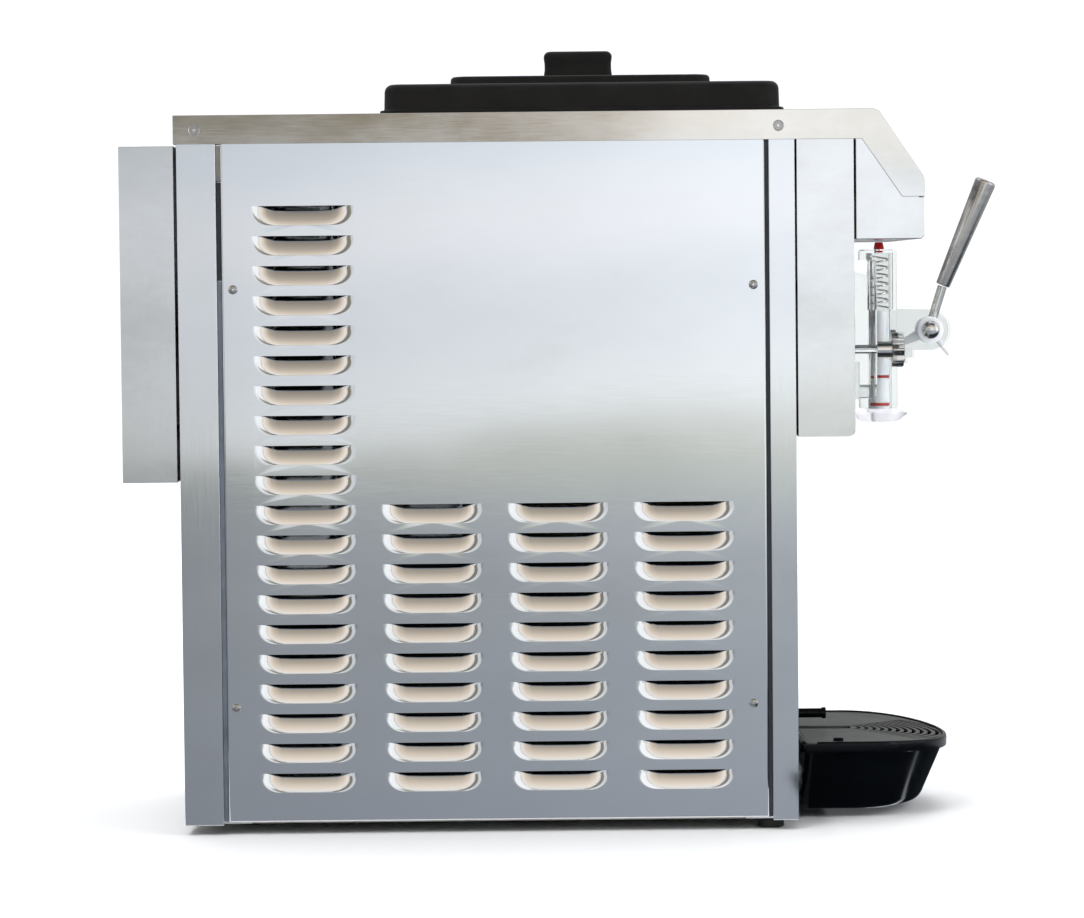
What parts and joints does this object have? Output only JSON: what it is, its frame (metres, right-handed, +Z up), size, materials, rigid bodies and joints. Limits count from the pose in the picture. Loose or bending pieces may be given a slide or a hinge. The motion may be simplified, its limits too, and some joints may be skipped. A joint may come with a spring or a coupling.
{
  "type": "soft serve machine",
  "caption": "Countertop soft serve machine: louvred stainless cabinet, hopper with black lid, clear dispensing head with a pull lever, front control hood and a round-nosed drip tray.",
  "frame": {"origin": "on the table, at the middle of the machine's overall length and width", "axes": "+X out of the front, where the lever and drip tray are; +Y to the machine's left; +Z up"},
  "size_m": [0.8956, 0.4, 0.791],
  "materials": {
    "brushed steel": "satin stainless side panels",
    "trim steel": "bright stainless top",
    "shell steel": "satin stainless posts and housings",
    "galvanised steel": "dull zinc",
    "satin steel": "satin turned steel",
    "satin black plastic": "satin black",
    "gloss black plastic": "gloss black",
    "dark grey plastic": "matt dark grey",
    "black rubber": "matt",
    "clear plastic": "clear polycarbonate",
    "frosted plastic": "frosted translucent",
    "white plastic": "satin white",
    "red rubber": "satin red",
    "insulating foam": "matt foam",
    "black painted steel": "satin black paint",
    "condenser fins": "bare aluminium",
    "display window": "gloss tinted window",
    "button plastic": "matt grey"
  },
  "bodies": {
    "cabinet": {"air_tube": "white plastic", "base_pan": "galvanised steel", "compressor": "black painted steel", "condenser": "condenser fins", "control_fascia": "satin black plastic", "control_hood": "shell steel", "cylinder_insulation": "insulating foam", "dispensing_head": "clear plastic", "display_lens": "display window", "drip_spout": "gloss black plastic", "drive_belt": "black rubber", "drive_motor": "black painted steel", "fan_motor": "black painted steel", "freezing_cylinder": "satin steel", "front_foot_left": "black rubber", "front_foot_right": "black rubber", "front_housing": "shell steel", "front_panel": "shell steel", "front_post_left": "shell steel", "front_post_right": "shell steel", "hopper": "satin steel", "nozzle_cap": "frosted plastic", "pivot_bolt": "satin steel", "pivot_bush_left": "white plastic", "pivot_bush_right": "white plastic", "pivot_nut": "satin steel", "power_inlet": "satin black plastic", "rear_drive_cover": "shell steel", "rear_foot_left": "black rubber", "rear_foot_right": "black rubber", "rear_panel": "shell steel", "rear_post_left": "shell steel", "rear_post_right": "shell steel", "side_panel_left": "brushed steel", "side_panel_right": "brushed steel", "spring_cap": "red rubber", "top_cover": "trim steel", "tray_bracket": "galvanised steel", "valve_spring": "satin steel"},
    "lid": {"hopper_lid": "satin black plastic", "lid_handle": "satin black plastic"},
    "beater_shaft": {"beater": "white plastic", "drive_shaft": "satin steel", "driven_pulley": "galvanised steel"},
    "motor_shaft": {"motor_pulley": "galvanised steel"},
    "fan": {"fan_blade": "galvanised steel"},
    "lever": {"lever_hub": "white plastic", "lever_rod": "satin steel", "lever_grip": "satin steel"},
    "valve": {"valve_plunger": "white plastic", "lower_o_ring": "red rubber", "upper_o_ring": "red rubber"},
    "right_hand_nut": {"hand_nut_right": "satin steel"},
    "left_hand_nut": {"hand_nut_left": "satin steel"},
    "button_wash": {"wash_button": "button plastic"},
    "button_serve": {"serve_button": "button plastic"},
    "button_standby": {"standby_button": "button plastic"},
    "tray": {"drip_tray": "gloss black plastic"},
    "grille": {"drip_grille": "dark grey plastic"}
  },
  "joints": [
    {"name": "lid_lift", "type": "slide", "parent": "cabinet", "child": "lid", "axis": [0, 0, 1], "range_m": [0, 0.12]},
    {"name": "beater_spin", "type": "hinge", "parent": "cabinet", "child": "beater_shaft", "pos_m": [-0.12085, 0, 0.499], "axis": [1, 0, 0], "continuous": true},
    {"name": "motor_spin", "type": "hinge", "parent": "cabinet", "child": "motor_shaft", "pos_m": [-0.43485, 0, 0.398], "axis": [1, 0, 0], "continuous": true},
    {"name": "fan_spin", "type": "hinge", "parent": "cabinet", "child": "fan", "pos_m": [-0.01085, -0.07, 0.18], "axis": [0, 1, 0], "continuous": true},
    {"name": "lever_pull", "type": "hinge", "parent": "cabinet", "child": "lever", "pos_m": [0.37715, 0, 0.4975], "axis": [0, 1, 0], "range_deg": [0, 38]},
    {"name": "valve_lift", "type": "slide", "parent": "cabinet", "child": "valve", "axis": [0, 0, 1], "range_m": [0, 0.0375], "stiffness_N_per_m": 600, "springref_m": -0.03, "deforming": ["valve_spring"]},
    {"name": "right_nut_spin", "type": "hinge", "parent": "cabinet", "child": "right_hand_nut", "pos_m": [0.31735, -0.052, 0.478], "axis": [1, 0, 0], "continuous": true},
    {"name": "left_nut_spin", "type": "hinge", "parent": "cabinet", "child": "left_hand_nut", "pos_m": [0.31735, 0.052, 0.478], "axis": [1, 0, 0], "continuous": true},
    {"name": "tray_slide", "type": "slide", "parent": "cabinet", "child": "tray", "axis": [1, 0, 0], "range_m": [0, 0.12]},
    {"name": "grille_lift", "type": "slide", "parent": "tray", "child": "grille", "axis": [0, 0, 1], "range_m": [0, 0.06]},
    {"name": "wash_press", "type": "slide", "parent": "cabinet", "child": "button_wash", "axis": [-0.8293, 0, -0.5589], "range_m": [0, 0.0015], "stiffness_N_per_m": 400, "springref_m": -0.001},
    {"name": "serve_press", "type": "slide", "parent": "cabinet", "child": "button_serve", "axis": [-0.8293, 0, -0.5589], "range_m": [0, 0.0015], "stiffness_N_per_m": 400, "springref_m": -0.001},
    {"name": "standby_press", "type": "slide", "parent": "cabinet", "child": "button_standby", "axis": [-0.8293, 0, -0.5589], "range_m": [0, 0.0015], "stiffness_N_per_m": 400, "springref_m": -0.001}
  ],
  "couplings": [
    {"joint": "valve_lift", "follows": "lever_pull", "m_per_rad": 0.0555},
    {"joint": "motor_spin", "follows": "beater_spin", "ratio": 2.5}
  ]
}
